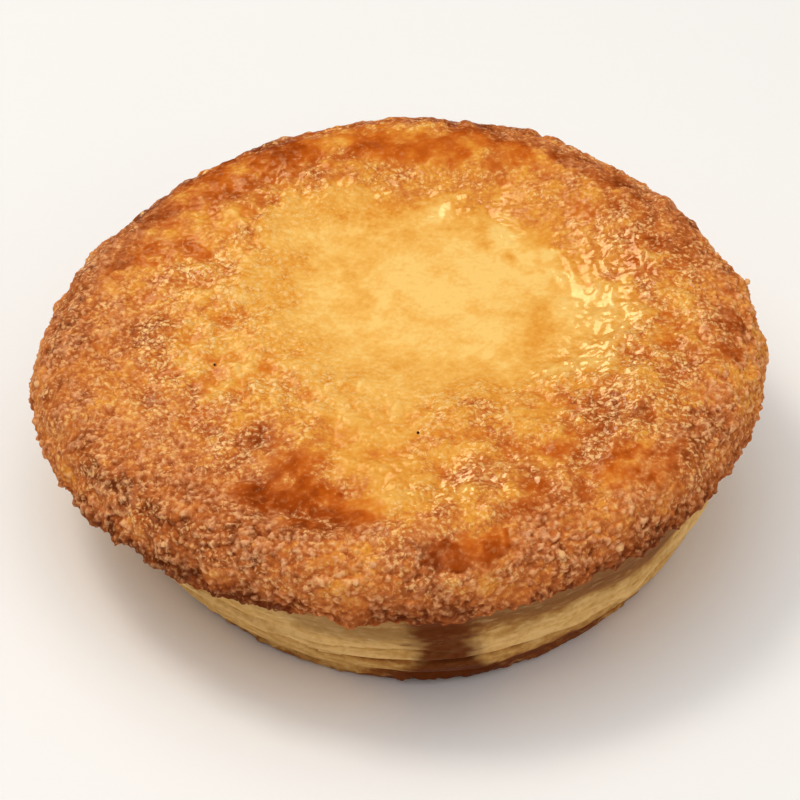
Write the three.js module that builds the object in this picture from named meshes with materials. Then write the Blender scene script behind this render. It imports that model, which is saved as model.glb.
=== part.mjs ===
// Creme brulee tart: a tapered case of laminated pastry under a thick caramelised custard crust whose
// rounded, crumbly rim overhangs the case. Millimetres, +Z up, origin in the middle of the flat foot.
// The front of the tart faces -Y.
import * as THREE from "three";

// Driving dimensions of the whole tart
const CRUST_RADIUS = 49.8; // widest part of the crust's rim
const FOOT_RADIUS = 38.2; // edge of the flat underside
const SEAT_HEIGHT = 19.7; // where the pastry ends and the crust begins
const SEAT_GAP = 0.3; // clearance between crust and case
const RIM_HEIGHT = 21.9; // height of the widest part of the rim
const CROWN_HEIGHT = 30; // top of the crumbly ring round the custard
const LEAN = 0.046; // the tart rose higher towards +X, by this share
const CRUST_SHIFT = { x: -2.4, y: 1.2 }; // the crust's middle, off the foot's

// The case's side: distance outside the foot's edge, and height
const CASE_SIDE = [
  { out: -0.7, height: 0 },
  { out: 0.3, height: 1.2 },
  { out: 3.4, height: 7 },
  { out: 5.8, height: 14 },
  { out: 8.2, height: SEAT_HEIGHT },
];

// The crust's edge, from its underside over the rim to the crown: distance inside the rim, and height
const CRUST_EDGE = [
  { inside: 3.2, height: SEAT_HEIGHT + SEAT_GAP },
  { inside: 1.2, height: SEAT_HEIGHT + 0.8 },
  { inside: 0, height: RIM_HEIGHT },
  { inside: 1.4, height: CROWN_HEIGHT - 3.2 },
  { inside: 5, height: CROWN_HEIGHT - 0.8 },
  { inside: 10, height: CROWN_HEIGHT },
  { inside: 30, height: CROWN_HEIGHT + 0.3 },
];

// The custard shows as a shallow dish, off the middle of the crust
const DISH = { x: 7, y: 9, radius: 15, edge: 16, depth: 2.4 };

// The outline isn't a true circle: waves round it, each a share of the radius
const OUTLINE_WAVES = [
  { count: 3, share: 0.011, turn: Math.PI / 2 },
  { count: 4, share: 0.013, turn: 0 },
  { count: 9, share: 0.003, turn: 1 },
];
const FOOT_WAVE = { count: 4, share: 0.012 }; // the foot is a little square, with a corner at the front

// Crumbly relief of the crust: lumps of three widths and their heights
const CRUMB_LUMPS = [
  { width: 11, height: 1.0 },
  { width: 5.5, height: 0.7 },
  { width: 3.2, height: 0.5 },
];
const CUSTARD_RIPPLE = { width: 9, height: 0.5 };
const MEAN_LUMP = 0.35; // taken off a lump's height, so that relief adds as much as it takes

// Joints between the layers of pastry: height up the side, depth, width and how far the joint wanders
const PASTRY_JOINTS = [
  { height: 2.6, depth: 0.7, width: 0.9, wander: 0.5 },
  { height: 7.6, depth: 1.2, width: 1.1, wander: 0.9 },
  { height: 11.6, depth: 0.5, width: 1.2, wander: 0.8 },
  { height: 15.4, depth: 0.45, width: 1.2, wander: 0.7 },
];
const PASTRY_PUFF = { width: 10, height: 0.7 };
const SIDE_PUFF = { angle: -0.65, share: 0.04 }; // the case swells most at its front right

// How finely the solids are cut into facets
const CRUST_SEGMENTS = 120;
const CRUST_ROWS = 27;
const CASE_SEGMENTS = 96;
const CASE_ROWS = 17;

const ON_AXIS = 1e-6; // closer to the axis than this, a point faces straight up or down

// A number from 0 to 1 that is always the same for one lattice point.
function latticeValue(i, j, k) {
  const wave = Math.sin(i * 12.9898 + j * 78.233 + k * 37.719) * 43758.5453;
  return wave - Math.floor(wave);
}

// Smooth noise from -1 to 1, whose swells are about one unit across.
function swell(x, y, z) {
  const [i, j, k] = [Math.floor(x), Math.floor(y), Math.floor(z)];
  const [u, v, w] = [x - i, y - j, z - k].map((t) => t * t * (3 - 2 * t));
  const edge = (dj, dk) =>
    THREE.MathUtils.lerp(latticeValue(i, j + dj, k + dk), latticeValue(i + 1, j + dj, k + dk), u);
  const face = (dk) => THREE.MathUtils.lerp(edge(0, dk), edge(1, dk), v);
  return 2 * THREE.MathUtils.lerp(face(0), face(1), w) - 1;
}

// Rounded lumps with creases between them, as a height above and below the mean surface.
function lumps(point, { width, height }) {
  const lump = Math.abs(swell(point.x / width, point.y / width, point.z / width));
  return height * (lump - MEAN_LUMP);
}

// The share of the true radius that the outline has at an angle.
function outline(angle) {
  return OUTLINE_WAVES.reduce((sum, w) => sum + w.share * Math.cos(w.count * angle + w.turn), 1);
}

// How far a point is outside the custard dish, from 0 in its middle to 1 on the crumbly ring.
function outsideDish(point) {
  const reach = Math.hypot(point.x - DISH.x, point.y - DISH.y);
  return THREE.MathUtils.smoothstep(reach, DISH.radius, DISH.radius + DISH.edge);
}

// Crumb lumps on the ring and rim, and a low ripple on the sunken custard.
function crustRelief(point) {
  const ring = outsideDish(point);
  const crumbs = CRUMB_LUMPS.reduce((sum, lump) => sum + lumps(point, lump), 0);
  return ring * crumbs + (1 - ring) * (lumps(point, CUSTARD_RIPPLE) - DISH.depth);
}

// Soft puffing of the pastry, cut by the joints between its layers, which wander up and down.
function pastryRelief(point) {
  const angle = Math.atan2(point.y, point.x);
  return PASTRY_JOINTS.reduce((sum, joint, n) => {
    const wave = Math.sin(3 * angle + 2 * n) + 0.6 * Math.sin(7 * angle + 5 * n);
    const off = (point.z - joint.height - joint.wander * wave) / joint.width;
    return sum - joint.depth * Math.exp(-off * off);
  }, lumps(point, PASTRY_PUFF));
}

// Turns a profile of radius and height into a closed solid of revolution about +Z, and then moves each
// vertex by shape(point, facing), where facing is the profile's outward direction there.
function turned(profile, segments, shape) {
  const geometry = new THREE.LatheGeometry(profile, segments);
  geometry.rotateX(Math.PI / 2);
  const places = geometry.getAttribute("position");
  const point = new THREE.Vector3();
  const facing = new THREE.Vector3();
  for (let n = 0; n < places.count; n++) {
    const row = n % profile.length;
    const before = profile[Math.max(row - 1, 0)];
    const after = profile[Math.min(row + 1, profile.length - 1)];
    const along = new THREE.Vector2().subVectors(after, before).normalize();
    point.fromBufferAttribute(places, n);
    const radius = Math.hypot(point.x, point.y);
    const spread = radius > ON_AXIS ? along.y / radius : 0;
    facing.set(point.x * spread, point.y * spread, -along.x);
    shape(point, facing);
    places.setXYZ(n, point.x, point.y, point.z);
  }
  geometry.deleteAttribute("normal");
  geometry.deleteAttribute("uv");
  geometry.computeVertexNormals();
  return geometry;
}

// Tapered solid of pastry: flat foot, layered side, leaning top under the crust. The side takes on the
// crust's outline, shift and lean as it rises.
function pastryCase() {
  const side = new THREE.SplineCurve(
    CASE_SIDE.map(({ out, height }) => new THREE.Vector2(FOOT_RADIUS + out, height)),
  );
  const foot = [new THREE.Vector2(0, 0), new THREE.Vector2(FOOT_RADIUS / 2, 0)];
  const top = [new THREE.Vector2(0, SEAT_HEIGHT)];
  const profile = [...foot, ...side.getSpacedPoints(CASE_ROWS), ...top];
  return turned(profile, CASE_SEGMENTS, (point, facing) => {
    const rise = point.z / SEAT_HEIGHT;
    const aboveFoot = THREE.MathUtils.smoothstep(point.z, 0, 1);
    const onSide = aboveFoot * (1 - THREE.MathUtils.smoothstep(facing.z, 0, 0.8));
    const relief = onSide * pastryRelief(point);
    const angle = Math.atan2(point.y, point.x);
    const puffed = SIDE_PUFF.share * Math.max(0, Math.cos(angle - SIDE_PUFF.angle)) ** 2;
    const footWave = FOOT_WAVE.share * Math.cos(FOOT_WAVE.count * angle);
    const wide = 1 + (outline(angle) - 1 + puffed) * rise + footWave * (1 - rise);
    point.x = point.x * wide + facing.x * relief + CRUST_SHIFT.x * rise;
    point.y = point.y * wide + facing.y * relief + CRUST_SHIFT.y * rise;
    point.z += LEAN * point.x * rise;
  });
}

// The crust: leaning underside, rounded rim that overhangs the case, crumbly ring, sunken custard.
function bruleeCrust() {
  const edge = CRUST_EDGE.map(({ inside, height }) => new THREE.Vector2(CRUST_RADIUS - inside, height));
  const middle = new THREE.Vector2(0, CROWN_HEIGHT);
  const over = new THREE.SplineCurve([...edge, middle]);
  const underside = [new THREE.Vector2(0, SEAT_HEIGHT + SEAT_GAP)];
  const profile = [...underside, ...over.getSpacedPoints(CRUST_ROWS)];
  return turned(profile, CRUST_SEGMENTS, (point, facing) => {
    const outside = THREE.MathUtils.smoothstep(point.z, SEAT_HEIGHT + SEAT_GAP, RIM_HEIGHT);
    const relief = outside * crustRelief(point);
    const wide = outline(Math.atan2(point.y, point.x));
    point.x = point.x * wide + facing.x * relief + CRUST_SHIFT.x;
    point.y = point.y * wide + facing.y * relief + CRUST_SHIFT.y;
    point.z += facing.z * relief + LEAN * point.x;
  });
}

// One named mesh, of one baked material.
function piece(name, geometry, color, roughness) {
  const material = new THREE.MeshStandardMaterial({ color, roughness, metalness: 0 });
  const mesh = new THREE.Mesh(geometry, material);
  mesh.name = name;
  return mesh;
}

const tart = new THREE.Group();
tart.name = "creme_brulee_tart";
tart.add(piece("pastry_case", pastryCase(), 0xc9a266, 0.75));
tart.add(piece("brulee_crust", bruleeCrust(), 0xd98a3c, 0.35));

export default tart;
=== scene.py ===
# %% [markdown]
# # A creme brulee tart
#
# This lesson dresses one individual tart, about 10 cm across. A tapered case of laminated pastry carries a
# thick layer of baked custard. The custard's middle stayed pale and smooth, the ring round it is crumbly and
# brown, and thin caramel lies in its hollows. The solids of the case and the crust already exist at their
# real size, so the first step loads them as a frame that nothing here may move.

# %% Load the frame
import itertools
import math

import bpy
import numpy as np
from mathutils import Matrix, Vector


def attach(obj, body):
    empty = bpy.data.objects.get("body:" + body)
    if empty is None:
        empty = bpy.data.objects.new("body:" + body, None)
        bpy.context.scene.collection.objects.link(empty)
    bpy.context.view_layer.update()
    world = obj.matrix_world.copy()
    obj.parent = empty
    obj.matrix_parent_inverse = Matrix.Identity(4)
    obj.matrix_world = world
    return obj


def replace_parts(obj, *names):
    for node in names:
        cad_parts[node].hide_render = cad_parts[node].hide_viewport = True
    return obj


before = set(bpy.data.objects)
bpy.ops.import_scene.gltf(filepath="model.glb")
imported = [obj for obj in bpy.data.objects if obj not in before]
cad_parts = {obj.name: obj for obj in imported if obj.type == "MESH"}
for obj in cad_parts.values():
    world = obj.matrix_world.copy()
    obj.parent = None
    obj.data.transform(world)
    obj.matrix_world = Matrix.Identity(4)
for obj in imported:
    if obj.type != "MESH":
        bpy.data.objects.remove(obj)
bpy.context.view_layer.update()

MM = 0.001  # the shapes below are worked out in millimetres, and Blender's unit is the metre

# %% [markdown]
# ## Sizes of the tart
#
# The surfaces in this lesson follow the solids, so they start from the same sizes: a rim that overhangs the
# case, a crown just inside it, and a shallow dish of custard. The tart rose more on its right, so the whole
# top leans by a small share of x.

# %% Sizes
CRUST_RADIUS = 49.8
FOOT_RADIUS = 38.2
SEAT_HEIGHT = 19.7  # where the pastry ends
SEAT_GAP = 0.3
CRUST_SEAT = SEAT_HEIGHT + SEAT_GAP  # where the crust begins
RIM_HEIGHT = 21.9  # where the crust is widest
CROWN_HEIGHT = 30.0
LEAN = 0.046
SHIFT_X, SHIFT_Y = -2.4, 1.2  # the crust's middle, off the foot's

CASE_SIDE = [  # radius and height, from the foot up
    (FOOT_RADIUS - 0.7, 0.0),
    (FOOT_RADIUS + 0.3, 1.2),
    (FOOT_RADIUS + 3.4, 7.0),
    (FOOT_RADIUS + 5.8, 14.0),
    (FOOT_RADIUS + 8.2, SEAT_HEIGHT),
]
CRUST_EDGE = [  # radius and height, from the underside over the rim to the middle
    (CRUST_RADIUS - 3.2, CRUST_SEAT),
    (CRUST_RADIUS - 1.2, SEAT_HEIGHT + 0.8),
    (CRUST_RADIUS, RIM_HEIGHT),
    (CRUST_RADIUS - 1.4, CROWN_HEIGHT - 3.2),
    (CRUST_RADIUS - 5.0, CROWN_HEIGHT - 0.8),
    (CRUST_RADIUS - 10.0, CROWN_HEIGHT),
    (CRUST_RADIUS - 30.0, CROWN_HEIGHT + 0.3),
    (0.0, CROWN_HEIGHT),
]
DISH = {"x": 7.0, "y": 9.0, "radius": 15.0, "edge": 16.0, "depth": 2.4}
OUTLINE_WAVES = [(3, 0.011, math.pi / 2), (4, 0.013, 0.0), (9, 0.003, 1.0)]  # count, share of radius, turn
FOOT_WAVE = {"count": 4, "share": 0.012}  # the foot is a little square
SIDE_PUFF = {"angle": -0.65, "share": 0.04}  # the case swells most at its front right
print("crust", 2 * CRUST_RADIUS, "mm across,", CROWN_HEIGHT, "mm high")

# %% [markdown]
# ## Noise in arrays
#
# Baked food is uneven at every scale. Two kinds of noise give all of it. The first blends random values
# smoothly between lattice points, and its absolute value makes rounded lumps with creases between them. The
# second drops one random point into each cube of a lattice and measures the distance to the nearest one:
# that is how separate crumbs are packed. Written with whole arrays, both run on all points at once.

# %% Noise
MEAN_LUMP = 0.35  # taken off a lump, so that relief adds as much as it takes
CELL_COUNT = 40  # the random points repeat after this many cubes
CELL_TABLE = np.random.default_rng(5).random((CELL_COUNT, CELL_COUNT, CELL_COUNT, 4))
FAR_AWAY = 9.0  # more than the distance to any nearest point


def smooth(value, low, high):
    """Smoothstep: 0 below low, 1 above high, and an S-shaped rise between them."""
    t = np.clip((value - low) / (high - low), 0.0, 1.0)
    return t * t * (3.0 - 2.0 * t)


def bell(value, width):
    """Bell curve: 1 at 0, falling off over the width on both sides."""
    return np.exp(-((value / width) ** 2))


def lattice(i, j, k):
    """A fixed number from 0 to 1 for each lattice point: the fraction left of a large sine."""
    wave = np.sin(i * 12.9898 + j * 78.233 + k * 37.719) * 43758.5453
    return wave - np.floor(wave)


def swell(x, y, z):
    """Smooth noise from -1 to 1: the eight lattice values round a point, blended by smoothstep weights."""
    i, j, k = np.floor(x), np.floor(y), np.floor(z)
    u, v, w = [t * t * (3.0 - 2.0 * t) for t in (x - i, y - j, z - k)]
    total = 0.0
    for di, wi in ((0, 1.0 - u), (1, u)):
        for dj, wj in ((0, 1.0 - v), (1, v)):
            for dk, wk in ((0, 1.0 - w), (1, w)):
                total = total + wi * wj * wk * lattice(i + di, j + dj, k + dk)
    return 2.0 * total - 1.0


def level_swell(x, y, width, level=0.0):
    """The same noise at one width, read on one level plane, for what doesn't change with height."""
    return swell(x / width, y / width, np.full_like(x, level))


def swells(x, y, z, rows):
    """Sum of smooth noise at several sizes, each row a width in millimetres and a height."""
    return sum(height * swell(x / width, y / width, z / width) for width, height in rows)


def lumps(x, y, z, width, height):
    """Rounded lumps with creases: height times the noise's absolute value, less its mean."""
    return height * (np.abs(swell(x / width, y / width, z / width)) - MEAN_LUMP)


def cells(x, y, z):
    """One random point in each unit cube: distance to the nearest, and a number of that point's own."""
    i, j, k = [np.floor(axis).astype(int) for axis in (x, y, z)]
    nearest, own = np.full(x.shape, FAR_AWAY), np.zeros(x.shape)
    for di, dj, dk in itertools.product((-1, 0, 1), repeat=3):
        ci, cj, ck = i + di, j + dj, k + dk
        row = CELL_TABLE[ci % CELL_COUNT, cj % CELL_COUNT, ck % CELL_COUNT]
        far = np.sqrt((ci + row[:, 0] - x) ** 2 + (cj + row[:, 1] - y) ** 2 + (ck + row[:, 2] - z) ** 2)
        own = np.where(far < nearest, row[:, 3], own)
        nearest = np.minimum(nearest, far)
    return nearest, own


print("noise at one point", round(float(swell(0.3, 0.6, 0.9)), 3))

# %% [markdown]
# ## Profiles turned round an axis
#
# Case and crust are both a profile carried round the upright axis. The profile is a smooth curve through a
# few points, read at even steps of its length, together with the way it faces, because relief pushes the
# surface along that direction.

# %% Profile and outline
PROFILE_STEPS = 4000


def profile_at(points, share):
    """Catmull-Rom curve through the points, read at a share of its length: radius, height, facing."""
    p = np.asarray(points)
    t = np.linspace(0.0, len(p) - 1.0, PROFILE_STEPS)
    n = np.minimum(t.astype(int), len(p) - 2)
    w = (t - n)[:, None]
    before, start, end, after = p[np.maximum(n - 1, 0)], p[n], p[n + 1], p[np.minimum(n + 2, len(p) - 1)]
    leave, arrive = (end - before) / 2, (after - start) / 2
    curve = (2 * start - 2 * end + leave + arrive) * w**3
    curve += (-3 * start + 3 * end - 2 * leave - arrive) * w**2 + leave * w + start
    length = np.concatenate([[0.0], np.cumsum(np.linalg.norm(np.diff(curve, axis=0), axis=1))])
    along = np.gradient(curve, length, axis=0)
    way = length / length[-1]
    return [np.interp(share, way, a) for a in (curve[:, 0], curve[:, 1], along[:, 1], -along[:, 0])]


def outline(angle):
    """Share of the true radius at an angle: 1 plus a few waves round the rim."""
    return 1.0 + sum(share * np.cos(count * angle + turn) for count, share, turn in OUTLINE_WAVES)


print("rim at", round(CRUST_RADIUS * float(outline(0.0)), 2), "mm on the right")

# %% [markdown]
# ## Custard and caramel
#
# The colours and the relief of the crust follow the same few places. Each is a soft patch, given by the
# angle and radius of its middle, by how far it reaches along and across the ring in millimetres, and by its
# strength. Moist custard stayed pale, and melted sugar ran into the hollows as pools of caramel.

# %% Custard and caramel
CUSTARD = [  # angle in degrees, radius, reach along, reach across, strength
    (64, 15.5, 21, 12, 1.0),
    (3, 25.0, 9, 7, 0.8),
    (118, 25.0, 10, 6, 0.6),
    (-98, 19.0, 9, 13, 0.28),
    (-44, 25.0, 8, 5, 0.2),
]
POOLS = [
    (-113, 32.0, 4.5, 4.0, 0.9),
    (-109, 36.5, 7.0, 3.4, 1.1),
    (-99, 38.0, 6.5, 2.8, 1.0),
    (-118, 39.0, 4.5, 2.6, 0.7),
    (-107, 42.0, 5.0, 2.0, 0.7),
    (-78, 45.6, 5.5, 3.0, 1.3),
    (-74, 44.6, 3.0, 1.6, 0.5),
    (-66, 39.5, 4.5, 3.0, 0.55),
    (-41, 46.0, 6.0, 2.6, 0.9),
    (-45, 42.5, 6.0, 3.0, 0.9),
    (-50, 34.0, 5.0, 3.5, 0.4),
    (-10, 44.9, 2.4, 2.2, 0.7),
    (-2, 45.3, 2.6, 2.2, 0.7),
    (21, 34.2, 3.0, 3.0, 0.3),
    (47, 43.0, 10.0, 3.0, 0.6),
    (44, 36.5, 5.0, 3.0, 0.5),
    (64, 40.0, 8.0, 3.0, 0.8),
    (85, 38.0, 18.0, 4.5, 1.0),
    (110, 40.5, 11.0, 3.5, 0.8),
    (147, 38.5, 10.0, 4.0, 0.65),
    (164, 42.0, 6.0, 2.4, 0.6),
    (128, 41.0, 26.0, 6.0, 0.5),
    (95, 45.0, 26.0, 3.2, 0.25),
    (141, 33.8, 6.0, 3.2, 0.8),
    (132, 44.5, 16.0, 3.0, 0.6),
]
print(len(CUSTARD), "patches of pale custard and", len(POOLS), "pools of caramel")

# %% [markdown]
# ## Burnt and spared
#
# An oven browns unevenly. Stretches of the ring and the rim burnt, and a few sheltered spots of crumb were
# spared and stayed a shade lighter than what is round them.

# %% Burnt and spared
BURNT = [
    (-113, 37.0, 9.0, 6.0, 0.55),
    (-103, 39.0, 7.0, 4.5, 0.4),
    (-126, 41.0, 9.0, 5.0, 0.75),
    (-79, 46.0, 5.5, 3.2, 1.0),
    (-132, 33.0, 12.0, 7.0, 0.4),
    (-122, 32.0, 8.0, 6.0, 0.8),
    (-117, 43.5, 11.0, 3.0, 0.8),
    (-120, 25.0, 5.0, 4.0, 0.5),
    (-166, 29.0, 8.0, 5.0, 0.2),
    (-45, 39.0, 5.0, 3.0, 0.4),
    (-145, 48.0, 9.0, 3.0, 0.8),
    (-127, 48.0, 10.0, 4.0, 0.95),
    (-112, 48.2, 8.0, 3.2, 0.85),
    (-87, 50.0, 9.0, 2.8, 0.75),
    (-61, 49.8, 6.0, 2.2, 0.5),
    (-50, 49.5, 8.0, 2.0, 0.35),
    (-29, 46.4, 5.0, 3.0, 0.5),
    (-36, 49.0, 8.0, 3.0, 0.2),
    (-41, 46.0, 7.0, 3.0, 0.5),
    (-140, 44.0, 22.0, 6.0, 0.25),
    (-10, 44.9, 2.6, 2.4, 0.9),
    (-2, 45.3, 2.8, 2.4, 0.9),
    (25, 46.5, 10.0, 3.0, 0.4),
    (50, 43.5, 12.0, 2.5, 0.8),
    (78, 46.5, 20.0, 2.6, 0.45),
    (112, 46.5, 18.0, 2.8, 0.65),
    (140, 46.8, 14.0, 2.8, 0.7),
    (153, 44.5, 9.0, 3.0, 0.6),
    (166, 45.0, 10.0, 3.5, 0.7),
    (176, 45.6, 9.0, 3.4, 1.0),
]
SPARED = [
    (-97, 47.0, 7.0, 4.0, 1.0),
    (-162, 26.0, 8.0, 5.0, 1.0),
    (-27, 29.0, 6.0, 4.0, 1.0),
    (-88, 37.2, 7.0, 3.5, 1.0),
    (8, 37.8, 9.0, 3.5, 0.6),
    (97, 42.6, 7.0, 3.0, 1.0),
    (45, 26.0, 5.0, 4.0, 0.9),
    (-52, 44.5, 4.0, 2.5, 0.7),
    (-72, 43.8, 3.5, 2.0, 0.6),
    (-16, 46.4, 5.0, 3.0, 0.6),
]
print(len(BURNT), "burnt patches and", len(SPARED), "spared ones")

# %% [markdown]
# ## Wet, bare, dry and heaped
#
# Round the custard the glaze stayed wet and wrinkled. In a few stretches it set bare, smooth and with hardly
# any sugar on it. Towards the rim the crumb is dry. Low heaps and hollows make the ring uneven.

# %% Wet, bare, dry and heaped
WET = [
    (-8, 28.5, 15.0, 6.0, 0.85),
    (24, 32.0, 12.0, 6.0, 0.7),
    (74, 29.0, 13.0, 4.5, 0.7),
    (122, 36.0, 16.0, 5.0, 0.28),
    (150, 33.0, 14.0, 6.0, 0.22),
    (-70, 35.5, 10.0, 5.0, 0.85),
    (-35, 36.0, 12.0, 6.0, 0.45),
    (-12, 37.0, 14.0, 6.0, 0.28),
    (42, 36.0, 10.0, 5.0, 0.22),
    (100, 33.0, 12.0, 4.0, 0.25),
]
BARE = [
    (-97, 27.0, 7.0, 11.0, 0.9),
    (128, 41.0, 26.0, 6.0, 0.6),
    (85, 41.0, 20.0, 5.0, 0.5),
    (-67, 33.0, 12.0, 7.0, 0.6),
]
DRY = [
    (-150, 44.0, 40.0, 9.0, 0.8),
    (175, 44.0, 24.0, 8.0, 0.7),
    (-108, 46.0, 30.0, 6.0, 1.0),
    (-62, 48.0, 26.0, 6.0, 1.0),
    (-5, 48.0, 34.0, 5.5, 1.0),
    (45, 46.0, 22.0, 4.5, 0.8),
]
HEAPS = [  # strength is the height in millimetres, and hollows are below 0
    (-88, 39.5, 9.0, 4.5, 0.9),
    (-112, 37.0, 12.0, 5.0, -0.7),
    (-80, 45.0, 6.0, 3.0, -0.7),
    (-107, 45.5, 16.0, 4.0, 0.5),
    (-36, 43.0, 9.0, 3.5, -0.6),
    (-40, 48.0, 14.0, 3.5, 0.6),
    (-2, 45.5, 8.0, 3.0, -0.5),
]
print(len(WET), "wet,", len(BARE), "bare and", len(DRY), "dry patches,", len(HEAPS), "heaps and hollows")

# %% [markdown]
# ## Reading the patches
#
# Noise pushes the edge of every patch about, so that none reads as an ellipse. The ring starts where the
# dish ends, the rim's side is as dry as the dry patches, and its lower edge is darker, most at the front:
# partly burnt crumb and partly painted shade under the overhang.

# %% Reading the patches
KINDS = {
    "pale": CUSTARD,
    "pool": POOLS,
    "burnt": BURNT,
    "spared": SPARED,
    "wet": WET,
    "bare": BARE,
    "dry": DRY,
}
PATCH_EDGE = [(5.0, 0.35), (2.0, 0.3), (0.9, 0.25)]  # width and share of the noise that pushes an edge about
PATCH_FADE = (0.35, 1.4)  # shares of its reach at which a patch starts to fade and ends
HEAP_PUSH = 0.3  # heaps have smoother edges than patches
RING = {"wander": 3.0, "edge": 14.0, "pale": 0.7}  # stray and width of its inner edge, loss to pale custard
RIM_SIDE = (RIM_HEIGHT + 2.0, CROWN_HEIGHT - 2.0)  # between these heights the side turns into the top
POOL_WETS = 0.9  # how far a pool soaks dry crumb
FRONT = {"angle": -1.4, "from": 0.2, "to": 0.75, "least": 0.4}  # cosines, and the share away from the front
LOWER_EDGE = {"from": RIM_HEIGHT - 0.6, "to": RIM_HEIGHT + 4.4, "wander": 1.5}


def patches(rows, reach, angle, push):
    """Highest of several soft patches: 1 in the middle of one, 0 past its edge, in polar millimetres."""
    best = np.zeros_like(reach)
    for degrees, radius, along, across, strength in rows:
        turn = (angle - math.radians(degrees) + math.pi) % (2 * math.pi) - math.pi
        off = np.hypot(turn * np.minimum(reach, radius) / along, (reach - radius) / across)
        best = np.maximum(best, strength * (1.0 - smooth(off + push, *PATCH_FADE)))
    return np.minimum(best, 1.0)


def heaps(reach, angle, push):
    """Height of all heaps and hollows: each a patch of its own, times its height, added up."""
    return sum(height * patches([(*place, 1.0)], reach, angle, push) for *place, height in HEAPS)


def facing(angle, row):
    """1 where a side faces the row's angle, 0 away from it, by the cosine between them."""
    return smooth(np.cos(angle - row["angle"]), row["from"], row["to"])


def lower_edge_burn_and_shade(angle, z, push):
    """Burn and painted shade at the rim's lower edge: 1 below its band, 0 above, less away from the front.
    """
    front = FRONT["least"] + (1.0 - FRONT["least"]) * facing(angle, FRONT)
    return front * (1.0 - smooth(z + LOWER_EDGE["wander"] * push, LOWER_EDGE["from"], LOWER_EDGE["to"]))


def crust_places(x, y, z):
    """All patches, the ring and the side of the rim, at points given from the crust's own middle."""
    reach, angle = np.hypot(x, y), np.arctan2(y, x)
    push = swells(x, y, z, PATCH_EDGE)
    found = {key: patches(rows, reach, angle, push) for key, rows in KINDS.items()}
    found["heap"] = heaps(reach, angle, HEAP_PUSH * push)
    far = np.hypot(x - DISH["x"], y - DISH["y"]) + RING["wander"] * push
    ring = smooth(far, DISH["radius"], DISH["radius"] + RING["edge"])
    found["ring"] = ring * (1.0 - RING["pale"] * found["pale"])
    found["side"] = 1.0 - smooth(z + push, *RIM_SIDE)
    found["dry"] = np.maximum(found["dry"], found["side"]) * (1.0 - POOL_WETS * found["pool"])
    found["lower"] = lower_edge_burn_and_shade(angle, z, push)
    found.update(x=x, y=y, z=z, reach=reach)
    return found


front_of_ring = crust_places(*[np.array([v]) for v in (0.0, -45.0, CROWN_HEIGHT)])
print("front of the ring", {key: round(float(front_of_ring[key][0]), 2) for key in ("ring", "dry", "burnt")})

# %% [markdown]
# ## Crumbs that are fused together
#
# The ring and the rim are baked crumb: grains of about a millimetre, stuck to each other, with smaller ones
# between. Each is a dome over its own random point, and chance sets how far it stands out. The places are
# bent by noise first, so that the grains aren't all round.

# %% Crumbs
CRUMBS = [(1.0, 0.5), (0.55, 0.26)]  # width and height of a grain
LOWEST_CRUMB = 0.2  # share of that height that the lowest grains have
MEAN_CRUMB = 0.2  # taken off, so that crumbs add as much as they take
CRUMB_BENDS = [(1.7, 0.3), (0.6, 0.13)]  # width of the noise, and how far it pushes
DOME_REACH = 0.72  # share of its width at which a dome ends


def bent(x, y, z):
    """Each coordinate pushed about by noise of its own, which is the same noise read at another place."""
    pushed = []
    for n, axis in enumerate((x, y, z)):
        for width, far in CRUMB_BENDS:
            axis = axis + far * swell(x / width + 5 * n, y / width - 3 * n, z / width + n)
        pushed.append(axis)
    return pushed


def crumbs(x, y, z):
    """Height of the fused crumbs, and a number from 0 to 1 of each large grain's own."""
    x, y, z = bent(x, y, z)
    total, numbers = 0.0, []
    for width, height in CRUMBS:
        nearest, own = cells(x / width, y / width, z / width)
        dome = np.clip(1.0 - (nearest / DOME_REACH) ** 2, 0.0, 1.0)
        total = total + height * dome * (LOWEST_CRUMB + (1.0 - LOWEST_CRUMB) * own)
        numbers.append(own)
    return total - MEAN_CRUMB, numbers[0]


row_of_crumbs, _ = crumbs(np.linspace(0.0, 20.0, 400), np.zeros(400), np.zeros(400))
print("crumbs stand from", round(row_of_crumbs.min(), 2), "to", round(row_of_crumbs.max(), 2), "mm")

# %% [markdown]
# ## Relief of the crust
#
# The solid's own lumps come first. The crumbs stand on them, and caramel fills what lies below its level: a
# little in every crease of the ring, a lot in the pools, where it drowns the crumbs and lies flat. Where the
# glaze stayed thick and wet, it set in fine wrinkles, and one large bubble burst and set as a ridge.

# %% Crust relief
CRUMB_LUMPS = [(11.0, 1.0), (5.5, 0.7), (3.2, 0.5)]  # width and height, as in the rows below
CUSTARD_RIPPLE = (9.0, 0.5)
CUSTARD_GRAIN = [(2.6, 0.07), (1.1, 0.035)]
GLAZED_LUMPS = [(3.0, 0.35), (1.5, 0.2), (0.9, 0.14), (0.6, 0.08)]
RIM_LUMPS = [(2.4, 0.5), (1.5, 0.3)]
FINE_WRINKLES = [(1.6, 0.08), (0.8, 0.08)]
LEVEL_RIPPLE = [(1.3, 0.06), (0.7, 0.05)]
POOL_DROWNS = 0.7  # share of the small lumps that a pool hides
CRUMB_IN_GLAZE = 0.2  # share of a crumb's height that shows through thick glaze
LEVEL = {"custard": -0.5, "ring": 0.2, "pool": 0.6, "hollow": 0.3, "dry": 0.35}  # of the caramel
AMBER_EDGE = (-0.25, 0.4)  # caramel's height over the crumb, from none to full colour
WRINKLE = {"across": 1.0, "along": 3.0, "reach": 22.0, "height": 0.3, "bend": 0.5, "bend_width": 2.5}
RIDGE_EDGE = (0.15, 0.5)  # share of a wrinkle's height, from none to full ridge
BUBBLE = {"angle": 21.0, "reach": 34.2, "radius": 2.9, "width": 0.5, "height": 0.3}
BUBBLE_WAVER = {"width": 1.6, "far": 0.6, "from": -0.6, "to": 0.3}  # its ridge strays and breaks off


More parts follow.
